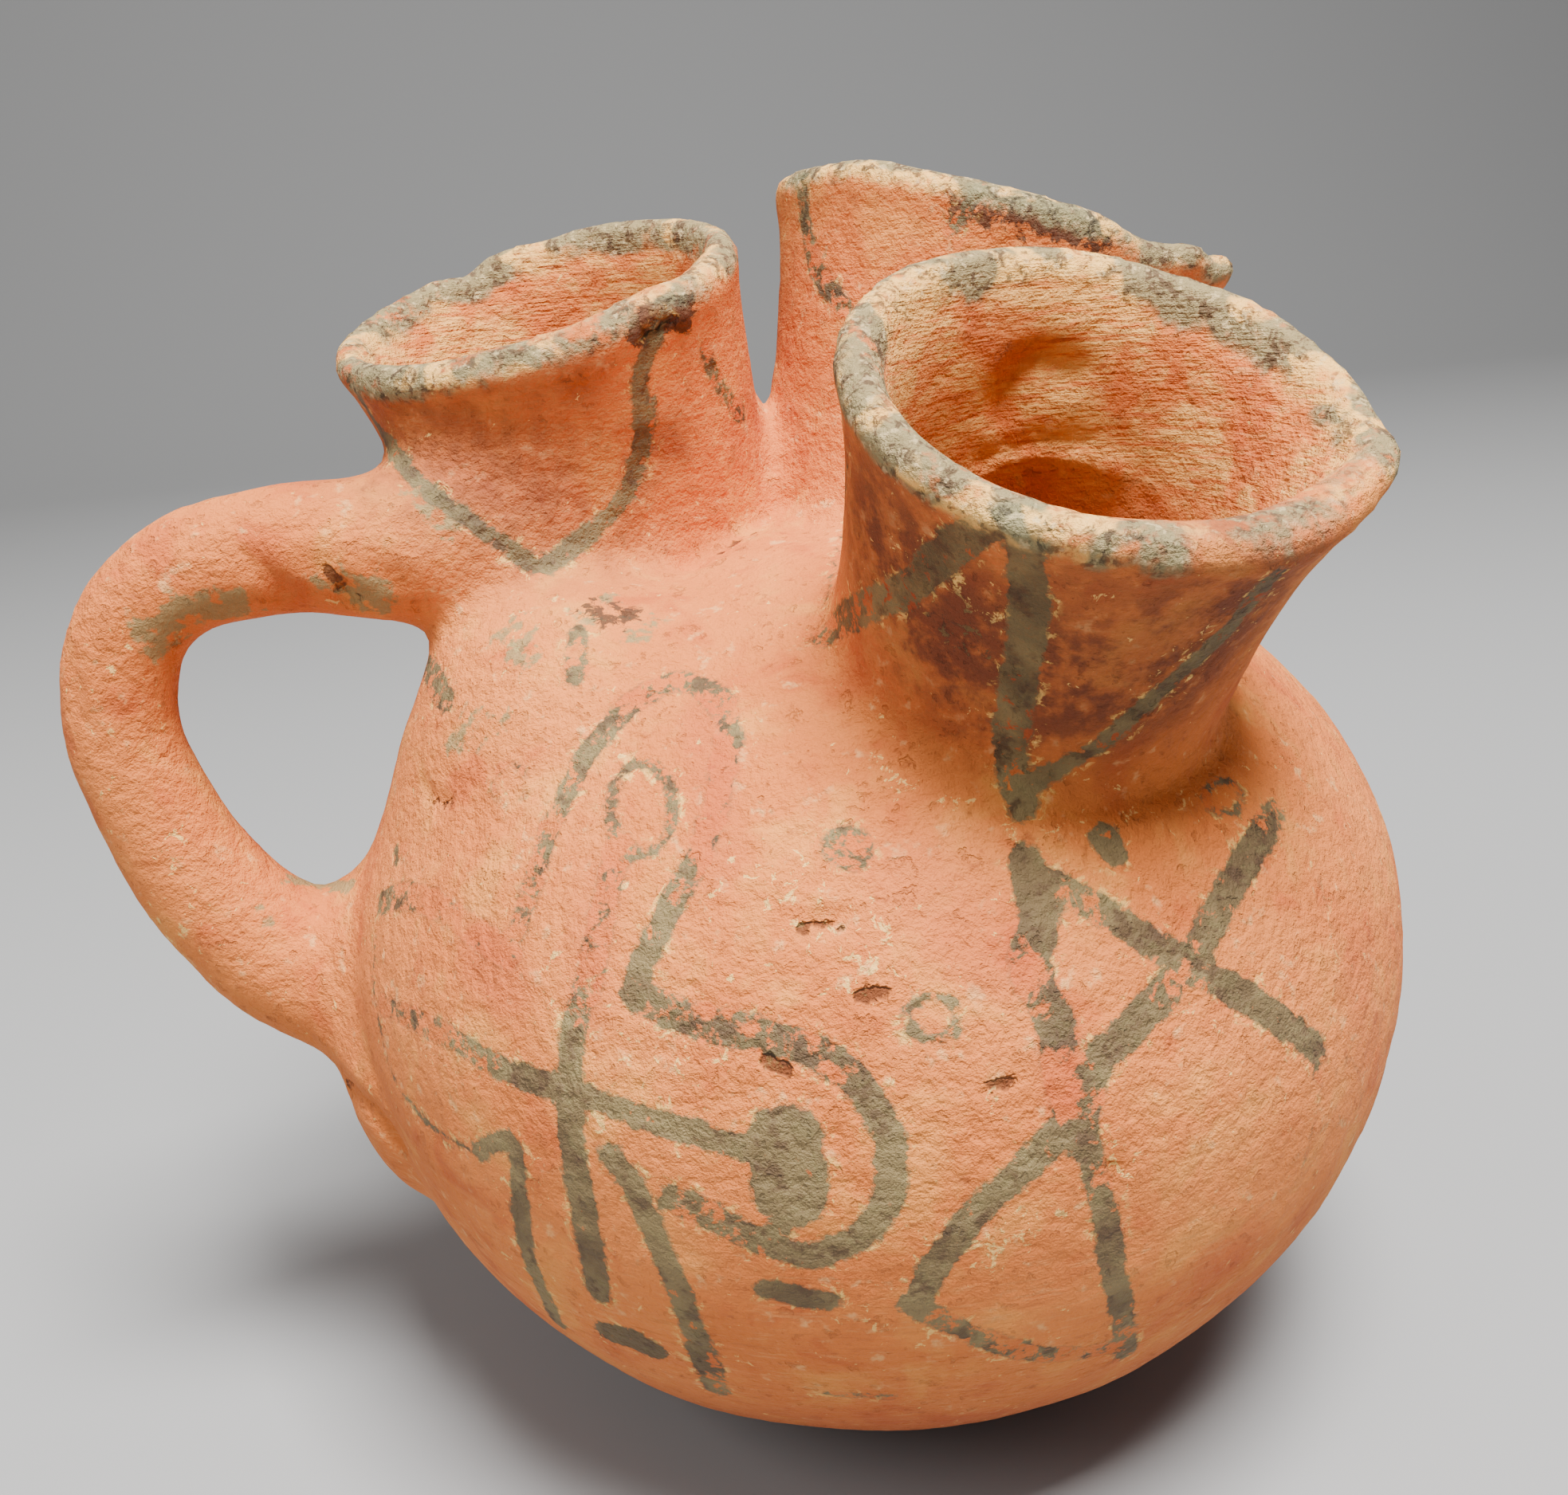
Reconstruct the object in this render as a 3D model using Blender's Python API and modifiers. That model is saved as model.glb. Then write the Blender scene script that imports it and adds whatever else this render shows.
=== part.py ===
"""Triple-spout vessel: a hand-built jug of fired clay, with three spouts and one loop handle.

Metres, +Z up. The origin is the centre of the flat spot that the jug stands on, and the
handle is on the -X side. The jug was built from separate rolls of clay that were luted
together and fired as one, so it is one solid: a closed outer form less one open hollow.
"""
from collections import namedtuple
from math import atan2, cos, hypot, pi, radians, sin, sqrt

import bmesh
import bpy
from mathutils import Matrix, Vector

# Globe
BODY_RADIUS = 0.075        # at the widest level
WIDEST_LEVEL = 0.066       # height of that level above the table
DOME_RISE = 0.058          # from the widest level up to the crown
FLAT_RADIUS = 0.022        # of the flat spot below
BODY_WALL = 0.006
FLOOR_THICKNESS = 0.008
UNDERSIDE = WIDEST_LEVEL - WIDEST_LEVEL / sqrt(1 - (FLAT_RADIUS / BODY_RADIUS) ** 2)

# Spouts: bearings are degrees from +X towards +Y, leans are degrees from upright, and all
# sizes are shares of the globe's radius. A lip is drawn out at its pull_bearing, over an arc
# that a higher pull_power makes shorter, and it stands higher at its lift_bearing.
Spout = namedtuple("Spout", "name foot_bearing foot_offset lean lean_bearing length "
                            "lip_radius neck_radius pull pull_bearing pull_power lift lift_bearing")
SPOUTS = (
    Spout("left", 136.4, 0.531, 16.8, 225.5, 0.613, 0.385, 0.330, 0.008, 185, 2, 0.005, 270),
    Spout("front", -65, 0.507, 28, -74, 0.480, 0.389, 0.325, 0.016, -15, 5, 0.008, 70),
    Spout("back", 53, 0.393, 19, 28, 0.591, 0.431, 0.357, 0.060, -36, 16, 0.016, 170),
)
SPOUT_SIZES = "foot_offset length lip_radius neck_radius pull lift"
SPOUT_WALL = 0.0055
SPOUT_ROOT = 0.022         # how far a spout's clay reaches in below the globe's surface

# Handle: a roll of clay in the plane that holds the globe's axis and -X
HANDLE_REACH = 0.024       # of its centre line past the globe's widest level
HANDLE_THICKNESS = 0.0145  # at its thinnest, on the outermost bend
HANDLE_RISE = 0.0054       # of its top bend above the crown's level
UPPER_ROOT_DROP = 0.002    # of the upper root's centre below that bend
UPPER_ROOT_THICKNESS = 0.020
UPPER_ROOT_SWING = 0.012   # of the root's end out of that plane, into the left spout
LOWER_ROOT_RISE = 0.002    # of the lower root's centre above the widest level
LOWER_ROOT_THICKNESS = 0.030

# Clay pressed over the handle's two roots and wiped down, as ovals sunk in the globe's wall:
# their sizes are shares of the globe's radius
Pad = namedtuple("Pad", "name upper_bearing lower_bearing width thickness sink")
PAD_SIZES = "width thickness sink"
UPPER_PAD = Pad("upper_pad", 170, 201, 0.72, 0.64, 0.167)
UPPER_PAD_TURNS = (28.7, 60.1)       # degrees from the crown to its two ends
LOWER_PAD = Pad("lower_pad", 180, 191, 0.427, 0.16, 0.0)
LOWER_PAD_DROPS = (0.0, 0.027)       # of its two ends below the widest level

# Mesh
ROUND_STEPS = 72
ARC_STEPS = 24
GRAIN = BODY_RADIUS / 50   # cell size in which the wet joints are blended
WIPES = 6                  # smoothing passes over them
KEPT_SHARE = 0.046         # of the blended mesh's triangles

COLOUR = (0.72, 0.27, 0.13, 1.0)
ROUGHNESS = 0.82


def direction(lean, bearing):
    """Unit vector that leans from upright towards a bearing, both in degrees."""
    side = sin(radians(lean))
    return Vector((side * cos(radians(bearing)), side * sin(radians(bearing)), cos(radians(lean))))


def shoulder_point(bearing, offset):
    """Point of the dome at a distance from the globe's axis."""
    rise = DOME_RISE * sqrt(1 - (offset / BODY_RADIUS) ** 2)
    return Vector((offset * cos(radians(bearing)), offset * sin(radians(bearing)),
                   WIDEST_LEVEL + rise))


def belly_point(bearing, level):
    """Point of the globe's lower half at a height above the table."""
    share = (WIDEST_LEVEL - level) / (WIDEST_LEVEL - UNDERSIDE)
    offset = BODY_RADIUS * sqrt(1 - share ** 2)
    return Vector((offset * cos(radians(bearing)), offset * sin(radians(bearing)), level))


def in_metres(form, sizes):
    """A spout or pad with its sizes turned from shares of the globe's radius into metres."""
    return form._replace(**{size: getattr(form, size) * BODY_RADIUS for size in sizes.split()})


def link(mesh, name, collection):
    obj = bpy.data.objects.new(name, mesh)
    collection.objects.link(obj)
    return obj


def as_mesh(obj):
    """The mesh that an object's curve or modifiers make."""
    bpy.context.view_layer.update()
    return bpy.data.meshes.new_from_object(obj.evaluated_get(bpy.context.evaluated_depsgraph_get()))


def turned(name, profile, collection):
    """Closed turned solid from a profile of (radius, height), top to bottom."""
    mesh = bpy.data.meshes.new(name)
    mesh.from_pydata([(radius, 0, height) for radius, height in profile],
                     [(i, i + 1) for i in range(len(profile) - 1)], [])
    obj = link(mesh, name, collection)
    screw = obj.modifiers.new("turn", "SCREW")
    screw.steps = screw.render_steps = ROUND_STEPS
    screw.use_merge_vertices = True
    screw.merge_threshold = 0.00005
    return obj


def oval(radius, rise, drop, level):
    """Profile of a globe whose upper and lower halves differ in height."""
    points = []
    for i in range(2 * ARC_STEPS + 1):
        turn = pi / 2 - pi * i / (2 * ARC_STEPS)
        height = rise if turn > 0 else drop
        points.append((radius * cos(turn), level + height * sin(turn)))
    points[0] = (0, level + rise)
    points[-1] = (0, level - drop)
    return points


def flare(spout, along):
    """Outer radius of a spout at a distance along its axis, from its foot to its lip."""
    share = max(0.0, min(1.0, along / spout.length))
    return spout.neck_radius + (spout.lip_radius - spout.neck_radius) * share ** 2


def spout_profile(spout, inset, past):
    """Profile of a spout's outside, or with an inset, of its hollow run past the lip."""
    points = [(0, spout.length + past), (flare(spout, spout.length) - inset, spout.length + past)]
    for i in range(ARC_STEPS + 1):
        along = spout.length - (spout.length + SPOUT_ROOT) * i / ARC_STEPS
        points.append((flare(spout, along) - inset, along))
    points.append((0, -SPOUT_ROOT))
    return points[:1] + points[2:] if past == 0 else points


def squeezed(turned_form, spout):
    """Mesh of a turned spout, drawn out and lifted at the lip as fingers leave it."""
    mesh = as_mesh(turned_form)
    for vertex in mesh.vertices:
        share = max(0.0, min(1.2, vertex.co.z / spout.length)) ** 2
        bearing = atan2(vertex.co.y, vertex.co.x)
        radius = max(hypot(vertex.co.x, vertex.co.y), 1e-6)
        towards = max(0.0, cos(bearing - radians(spout.pull_bearing))) ** spout.pull_power
        grown = 1 + share * spout.pull * towards / spout.neck_radius
        tilt = radius / spout.neck_radius * cos(bearing - radians(spout.lift_bearing))
        vertex.co = (vertex.co.x * grown, vertex.co.y * grown, vertex.co.z + share * spout.lift * tilt)
    return mesh


def spout_form(name, spout, inset, past, collection):
    """A spout's outside, or its bore, at its foot on the dome and along its lean."""
    turned_form = turned(name + "_turned", spout_profile(spout, inset, past), collection)
    obj = link(squeezed(turned_form, spout), name, collection)
    bpy.data.objects.remove(turned_form)
    obj.rotation_mode = "QUATERNION"
    lean = direction(spout.lean, spout.lean_bearing)
    obj.rotation_quaternion = Vector((0, 0, 1)).rotation_difference(lean)
    obj.location = shoulder_point(spout.foot_bearing, spout.foot_offset)
    return obj


def handle_roll(collection):
    """The handle's roll of clay, thicker at both roots, as a mesh."""
    crown = WIDEST_LEVEL + DOME_RISE
    top = crown + HANDLE_RISE
    low = WIDEST_LEVEL + LOWER_ROOT_RISE
    outermost = BODY_RADIUS + HANDLE_REACH
    thin, upper, lower = HANDLE_THICKNESS, UPPER_ROOT_THICKNESS, LOWER_ROOT_THICKNESS
    middle = (top + low) / 2
    route = [
        (BODY_RADIUS * 0.45, UPPER_ROOT_SWING, top - UPPER_ROOT_DROP - upper * 0.5, upper * 0.9),
        (BODY_RADIUS * 0.60, UPPER_ROOT_SWING * 0.4, top - UPPER_ROOT_DROP - upper * 0.1, upper),
        (BODY_RADIUS * 0.78, 0, top - UPPER_ROOT_DROP, upper * 0.95),
        (BODY_RADIUS, 0, top, thin * 1.16),
        (outermost - thin * 0.45, 0, top - thin * 0.33, thin * 1.03),
        (outermost, 0, middle + thin * 0.9, thin),
        (outermost - thin * 0.12, 0, middle - thin * 0.25, thin * 1.08),
        (outermost - thin * 0.61, 0, middle - thin * 1.35, thin * 1.23),
        (outermost - thin * 1.25, 0, low + thin * 0.15, thin * 1.45),
        (BODY_RADIUS * 0.94, 0, low, lower * 0.92),
        (BODY_RADIUS * 0.80, 0, low, lower),
    ]
    curve = bpy.data.curves.new("handle_route", "CURVE")
    curve.dimensions = "3D"
    curve.bevel_depth = 1.0
    curve.bevel_resolution = 6
    curve.resolution_u = 6
    curve.use_fill_caps = True
    spline = curve.splines.new("BEZIER")
    spline.bezier_points.add(len(route) - 1)
    for point, (offset, swing, height, thickness) in zip(spline.bezier_points, route):
        point.co = (-offset, swing, height)
        point.radius = thickness / 2
        point.handle_left_type = point.handle_right_type = "AUTO"
    guide = link(curve, "handle_route", collection)
    mesh = as_mesh(guide)
    bpy.data.objects.remove(guide)
    shape = bmesh.new()
    shape.from_mesh(mesh)
    bmesh.ops.remove_doubles(shape, verts=shape.verts, dist=0.00005)
    bmesh.ops.recalc_face_normals(shape, faces=shape.faces)
    shape.to_mesh(mesh)
    shape.free()
    return link(mesh, "handle_roll", collection)


def pad_form(pad, upper_end, lower_end, collection):
    """Oval pad of clay between two points of the globe's surface, sunk into it."""
    mesh = bpy.data.meshes.new(pad.name)
    shape = bmesh.new()
    bmesh.ops.create_uvsphere(shape, u_segments=32, v_segments=20, radius=1.0)
    size = (pad.width / 2, pad.thickness / 2, (upper_end - lower_end).length / 2)
    bmesh.ops.scale(shape, vec=size, verts=shape.verts)
    along = (upper_end - lower_end).normalized()
    middle = (upper_end + lower_end) / 2
    outward = Vector((middle.x, middle.y, middle.z - WIDEST_LEVEL)).normalized()
    across = outward.cross(along).normalized()
    placed = Matrix((across, along.cross(across), along)).transposed().to_4x4()
    placed.translation = middle - outward * pad.sink
    shape.transform(placed)
    shape.to_mesh(mesh)
    shape.free()
    return link(mesh, pad.name, collection)


def boolean(obj, operation, other):
    cut = obj.modifiers.new(operation.lower() + " " + other.name, "BOOLEAN")
    cut.operation = operation
    cut.object = other
    cut.solver = "EXACT"


def blend(obj):
    """Blend the joints and round the lips as wet clay is wiped, then thin the mesh out."""
    remesh = obj.modifiers.new("clay", "REMESH")
    remesh.mode = "VOXEL"
    remesh.voxel_size = GRAIN
    smooth = obj.modifiers.new("wipe", "SMOOTH")
    smooth.factor = 0.5
    smooth.iterations = WIPES
    thin_out = obj.modifiers.new("thin out", "DECIMATE")
    thin_out.ratio = KEPT_SHARE


def fired_clay():
    material = bpy.data.materials.new("fired clay")
    material.use_nodes = True
    shader = material.node_tree.nodes["Principled BSDF"]
    shader.inputs["Base Color"].default_value = COLOUR
    shader.inputs["Roughness"].default_value = ROUGHNESS
    shader.inputs["Metallic"].default_value = 0.0
    return material


def build():
    for obj in list(bpy.data.objects):
        bpy.data.objects.remove(obj)
    vessel_parts = bpy.data.collections.new("triple-spout vessel")
    cutters = bpy.data.collections.new("cutters")
    bpy.context.scene.collection.children.link(vessel_parts)
    bpy.context.scene.collection.children.link(cutters)

    spouts = [in_metres(spout, SPOUT_SIZES) for spout in SPOUTS]
    upper_pad = in_metres(UPPER_PAD, PAD_SIZES)
    lower_pad = in_metres(LOWER_PAD, PAD_SIZES)

    # Outside
    vessel = turned("vessel", oval(BODY_RADIUS, DOME_RISE, WIDEST_LEVEL - UNDERSIDE, WIDEST_LEVEL),
                    vessel_parts)
    for spout in spouts:
        boolean(vessel, "UNION", spout_form("spout_" + spout.name, spout, 0, 0, cutters))
    roll = handle_roll(cutters)
    boolean(vessel, "UNION", roll)
    high, low = (BODY_RADIUS * sin(radians(turn)) for turn in UPPER_PAD_TURNS)
    upper = pad_form(upper_pad, shoulder_point(upper_pad.upper_bearing, high),
                     shoulder_point(upper_pad.lower_bearing, low), cutters)
    boolean(vessel, "UNION", upper)
    high, low = (WIDEST_LEVEL - drop for drop in LOWER_PAD_DROPS)
    lower = pad_form(lower_pad, belly_point(lower_pad.upper_bearing, high),
                     belly_point(lower_pad.lower_bearing, low), cutters)
    boolean(vessel, "UNION", lower)

    # Hollow
    hollow = turned("hollow", oval(BODY_RADIUS - BODY_WALL, DOME_RISE - BODY_WALL,
                                   WIDEST_LEVEL - FLOOR_THICKNESS, WIDEST_LEVEL), cutters)
    for spout in spouts:
        bore = spout_form("bore_" + spout.name, spout, SPOUT_WALL, 2 * SPOUT_WALL, cutters)
        boolean(hollow, "UNION", bore)
    boolean(vessel, "DIFFERENCE", hollow)
    blend(vessel)

    # Flat spot worn on the underside
    table = bpy.data.meshes.new("table")
    block = bmesh.new()
    bmesh.ops.create_cube(block, size=2 * BODY_RADIUS)
    bmesh.ops.translate(block, vec=(0, 0, -BODY_RADIUS), verts=block.verts)
    block.to_mesh(table)
    block.free()
    boolean(vessel, "DIFFERENCE", link(table, "table", cutters))

    for obj in cutters.objects:
        obj.hide_render = True
        obj.display_type = "WIRE"
    vessel.data.materials.append(fired_clay())


build()
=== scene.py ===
"""Triple-spout vessel: an old hand-built jug of orange-red clay with worn brush strokes.

Metres, +Z up, with the origin in the middle of the flat spot that the jug stands on.
"""
from collections import namedtuple
from math import cos, pi, radians, sin

import bpy
import numpy as np
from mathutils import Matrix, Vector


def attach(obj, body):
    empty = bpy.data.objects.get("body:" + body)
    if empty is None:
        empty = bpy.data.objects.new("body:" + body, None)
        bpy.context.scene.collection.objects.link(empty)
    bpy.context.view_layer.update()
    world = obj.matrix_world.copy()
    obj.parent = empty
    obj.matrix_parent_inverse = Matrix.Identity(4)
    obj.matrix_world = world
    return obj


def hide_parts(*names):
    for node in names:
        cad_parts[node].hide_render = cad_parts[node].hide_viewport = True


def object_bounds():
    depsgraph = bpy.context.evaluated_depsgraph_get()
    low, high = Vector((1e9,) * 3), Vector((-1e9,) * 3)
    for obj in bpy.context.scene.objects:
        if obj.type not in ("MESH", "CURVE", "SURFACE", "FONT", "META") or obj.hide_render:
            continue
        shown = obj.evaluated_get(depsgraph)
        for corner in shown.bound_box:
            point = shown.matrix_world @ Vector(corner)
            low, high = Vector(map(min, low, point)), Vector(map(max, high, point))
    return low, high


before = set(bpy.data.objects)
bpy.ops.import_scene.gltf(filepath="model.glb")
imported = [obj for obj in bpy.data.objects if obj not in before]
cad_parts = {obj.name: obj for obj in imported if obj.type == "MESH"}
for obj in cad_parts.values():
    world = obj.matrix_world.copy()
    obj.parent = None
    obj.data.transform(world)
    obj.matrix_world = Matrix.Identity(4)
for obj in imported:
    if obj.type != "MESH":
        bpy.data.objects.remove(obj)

import openvdb
from mathutils import Vector
from mathutils.bvhtree import BVHTree

cad_box = [[float(value) for value in corner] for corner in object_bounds()]

# Viewpoint
# The jug is seen from in front of its belly, from a little above the rims. Marks that the
# photograph shows are named by its pixels further down, and are cast from here on to the clay.
IMAGE_WIDTH, IMAGE_HEIGHT = 1967, 1876

viewer = bpy.data.objects.new("viewer", bpy.data.cameras.new("viewer"))
bpy.context.scene.collection.objects.link(viewer)
viewer.location = (-0.03788, -0.21485, 0.16831)
viewer.rotation_euler = [radians(turn) for turn in (70.873, 4.433, -8.746)]
viewer.data.lens = 36.612
viewer.data.sensor_width = 36.0
viewer.data.clip_start = 0.01
bpy.context.scene.camera = viewer


def sight_line(px, py):
    """Direction from the viewpoint through a pixel of the photograph."""
    focal = viewer.data.lens / viewer.data.sensor_width * IMAGE_WIDTH
    local = Vector(((px - IMAGE_WIDTH / 2) / focal, (IMAGE_HEIGHT / 2 - py) / focal, -1))
    return (viewer.rotation_euler.to_matrix() @ local).normalized()


# Globe
# The body is a ball of coarse clay, pressed up from rolls and wiped smooth, then flattened a
# little below so that it stands. The wet clay is worked as a field: the distance from its
# surface at each point of a fine grid, less than nothing within the clay.
BODY_RADIUS = 0.075
WIDEST_LEVEL = 0.066
DOME_RISE = 0.058
BELLY_DROP = 0.06904       # would end just below the table: the flat spot takes it off
BODY_WALL = 0.006
FLOOR_THICKNESS = 0.008
GRID_STEP = 0.00145
GRID_MARGIN = 0.007

grid_corner = np.array(cad_box[0]) - GRID_MARGIN
grid_counts = np.ceil((np.array(cad_box[1]) + GRID_MARGIN - grid_corner) / GRID_STEP).astype(int)
gx, gy, gz = np.meshgrid(*[(grid_corner[i] + GRID_STEP * np.arange(grid_counts[i])).astype(np.float32)
                           for i in range(3)], indexing="ij", sparse=True)


def oval(x, y, height, radius, rise, drop):
    """Distance from a globe whose upper and lower halves differ in height."""
    semi = np.where(height > 0, rise, drop)
    near = np.sqrt((x ** 2 + y ** 2) / radius ** 2 + (height / semi) ** 2)
    slope = np.sqrt((x ** 2 + y ** 2) / radius ** 4 + (height / semi ** 2) ** 2)
    return near * (near - 1) / np.maximum(slope, 1e-4)


def joined(first, second, softness):
    """Two forms of clay luted together, with the joint wiped over a width."""
    overlap = np.maximum(softness - np.abs(first - second), 0) / softness
    return np.minimum(first, second) - overlap ** 2 * softness / 4


def without(first, second, softness):
    """Clay with a form taken out of it, its edges rounded."""
    return -joined(-first, second, softness)


def dome_point(bearing, offset):
    """Point of the dome at a bearing in degrees and a distance from the globe's axis."""
    rise = DOME_RISE * (1 - (offset / BODY_RADIUS) ** 2) ** 0.5
    return Vector((offset * cos(radians(bearing)), offset * sin(radians(bearing)), WIDEST_LEVEL + rise))


clay = oval(gx, gy, gz - WIDEST_LEVEL, BODY_RADIUS, DOME_RISE, BELLY_DROP)
hollow = oval(gx, gy, gz - WIDEST_LEVEL, BODY_RADIUS - BODY_WALL, DOME_RISE - BODY_WALL,
              WIDEST_LEVEL - FLOOR_THICKNESS)

# Spouts
# Three flared collars of clay, each drawn up from a ring set on the shoulder, leaning outwards.
# Their lips were pinched by hand, so each stands a little uneven: bumps give a bearing, a width
# in degrees and a size, for the lip's level, its reach and the wall's thickness.
Spout = namedtuple("Spout", "name foot_bearing foot_offset lean lean_bearing length lip neck "
                            "pull pull_bearing pull_power lift lift_bearing softness "
                            "level_bumps reach_bumps wall_bumps")
SPOUTS = (
    Spout("left", 136.4, 0.0398, 16.8, 225.5, 0.046, 0.0288, 0.0248,
          0.0006, 185, 2, 0.0004, 270, 0.007,
          ((112, 6, -0.0012), (98, 9, 0.0006), (60, 20, 0.0005), (-60, 12, 0.0006)),
          ((-42, 9, 0.0007), (-170, 25, 0.0004), (20, 20, 0.0005)),
          ((-60, 40, 0.0004), (150, 50, -0.0006))),
    Spout("front", -65, 0.038, 28, -74, 0.036, 0.0292, 0.0244,
          0.0012, -15, 5, 0.0006, 70, 0.0035,
          ((-24, 9, 0.0006), (-100, 18, 0.0005), (130, 25, 0.0004), (60, 12, -0.0004)),
          ((-24, 8, 0.0012), (-62, 14, 0.0004), (150, 20, 0.0003), (35, 15, 0.0004)),
          ((-62, 26, 0.0024), (-110, 30, 0.0008), (165, 40, -0.0006), (60, 40, -0.0004))),
    Spout("back", 53, 0.0295, 19, 28, 0.0443, 0.0323, 0.0268,
          0.0045, -36, 16, 0.0012, 170, 0.006,
          ((-62, 10, -0.0012), (-48, 4, 0.0008), (-36, 5, 0.0010), (-140, 14, 0.0008), (-42, 2.5, -0.0008)),
          ((-38, 7, 0.0008), (180, 16, 0.0004)),
          ((-38, 10, 0.0008), (90, 60, 0.0003))),
)
SPOUT_WALL = 0.0055
SPOUT_ROOT = 0.022         # how far a spout's clay reaches in below the dome
LIP_ROUNDING = 0.0042
LIP_ROLL = 0.0006          # how far the pressed lip stands out over the wall below it


def bumps_at(around, bumps):
    """Sum of a lip's bumps at each bearing round it."""
    total = np.zeros_like(around)
    for bearing, width, size in bumps:
        away = np.abs((around - radians(bearing) + pi) % (2 * pi) - pi)
        total += size * np.exp(-(away / radians(width)) ** 2)
    return total


def spout_space(spout, x, y, z):
    """How far points are past a spout's side, past its lip and up from its foot, and its wall there."""
    foot = dome_point(spout.foot_bearing, spout.foot_offset)
    side = sin(radians(spout.lean))
    axis = Vector((side * cos(radians(spout.lean_bearing)), side * sin(radians(spout.lean_bearing)),
                   cos(radians(spout.lean))))
    turn = Vector((0, 0, 1)).rotation_difference(axis).to_matrix().transposed()
    across, over, along = (turn[i][0] * (x - foot.x) + turn[i][1] * (y - foot.y) + turn[i][2] * (z - foot.z)
                           for i in range(3))
    around = np.arctan2(over, across)
    out = np.sqrt(across ** 2 + over ** 2)
    share = np.clip(along / spout.length, 0, 1.2)
    tilt = out / spout.neck * np.cos(around - radians(spout.lift_bearing))
    along = along - share ** 2 * spout.lift * tilt
    share = np.clip(along / spout.length, 0, 1)
    towards = np.maximum(np.cos(around - radians(spout.pull_bearing)), 0) ** spout.pull_power
    reach = spout.neck + (spout.lip - spout.neck) * share ** 2
    reach = reach * (1 + share ** 2 * spout.pull * towards / spout.neck)
    reach = reach + share ** 3 * bumps_at(around, spout.reach_bumps)
    past_lip = along - spout.length - bumps_at(around, spout.level_bumps)
    reach = reach + LIP_ROLL * np.exp(-((past_lip + 0.003) / 0.0025) ** 2)
    wall = SPOUT_WALL + share ** 4 * bumps_at(around, spout.wall_bumps)
    return out - reach, past_lip, along, wall


for spout in SPOUTS:
    beside, past_lip, along, wall = spout_space(spout, gx, gy, gz)
    collar = without(beside, -past_lip, LIP_ROUNDING)
    collar = np.maximum(collar, -along - SPOUT_ROOT)
    clay = joined(clay, collar, spout.softness)
    bore = np.maximum(np.maximum(beside + wall, -along - SPOUT_ROOT), past_lip - 0.012)
    hollow = joined(hollow, bore, 0.004)

# Handle
# One thick roll of clay, set on the shoulder beside the left spout, bent out and down to the
# widest level, and thicker at both roots where it was pressed on. More clay was wiped over
# the roots, in a wide soft mound above and a tongue below.
HANDLE_REACH = 0.024
HANDLE_THICKNESS = 0.0145
HANDLE_RISE = 0.0054
UPPER_ROOT_DROP = 0.002
UPPER_ROOT_THICKNESS = 0.020
UPPER_ROOT_SWING = 0.012
LOWER_ROOT_RISE = 0.002
LOWER_ROOT_THICKNESS = 0.030
ROUTE_STEPS = 6
Pad = namedtuple("Pad", "upper_end lower_end width thickness sink softness")


def belly_point(bearing, level):
    """Point of the globe's lower half at a height above the table."""
    share = (WIDEST_LEVEL - level) / BELLY_DROP
    offset = BODY_RADIUS * (1 - share ** 2) ** 0.5
    return Vector((offset * cos(radians(bearing)), offset * sin(radians(bearing)), level))


def handle_route():
    """Points down the handle's centre line, and its radius at each."""
    top = WIDEST_LEVEL + DOME_RISE + HANDLE_RISE
    low = WIDEST_LEVEL + LOWER_ROOT_RISE
    outermost = BODY_RADIUS + HANDLE_REACH
    middle = (top + low) / 2
    thin, upper, lower = HANDLE_THICKNESS, UPPER_ROOT_THICKNESS, LOWER_ROOT_THICKNESS
    route = [
        (BODY_RADIUS * 0.45, UPPER_ROOT_SWING, top - UPPER_ROOT_DROP - upper * 0.5, upper * 0.9),
        (BODY_RADIUS * 0.60, UPPER_ROOT_SWING * 0.4, top - UPPER_ROOT_DROP - upper * 0.1, upper),
        (BODY_RADIUS * 0.78, 0, top - UPPER_ROOT_DROP, upper * 0.95),
        (BODY_RADIUS, 0, top, thin * 1.16),
        (outermost - thin * 0.45, 0, top - thin * 0.33, thin * 1.03),
        (outermost, 0, middle + thin * 0.9, thin),
        (outermost - thin * 0.12, 0, middle - thin * 0.25, thin * 1.08),
        (outermost - thin * 0.61, 0, middle - thin * 1.35, thin * 1.23),
        (outermost - thin * 1.25, 0, low + thin * 0.15, thin * 1.45),
        (BODY_RADIUS * 0.94, 0, low, lower * 0.92),
        (BODY_RADIUS * 0.80, 0, low, lower),
    ]
    curve = bpy.data.curves.new("handle_route", "CURVE")
    curve.dimensions = "3D"
    curve.resolution_u = ROUTE_STEPS
    spline = curve.splines.new("BEZIER")
    spline.bezier_points.add(len(route) - 1)
    for point, (offset, swing, height, _) in zip(spline.bezier_points, route):
        point.co = (-offset, swing, height)
        point.handle_left_type = point.handle_right_type = "AUTO"
    guide = bpy.data.objects.new("handle_route", curve)
    bpy.context.scene.collection.objects.link(guide)
    bpy.context.view_layer.update()
    line = bpy.data.meshes.new_from_object(guide.evaluated_get(bpy.context.evaluated_depsgraph_get()))
    points = np.array([vertex.co for vertex in line.vertices])
    bpy.data.objects.remove(guide)
    radii = np.interp(np.arange(len(points)) / ROUTE_STEPS, range(len(route)), [row[3] / 2 for row in route])
    return points, radii


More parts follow.
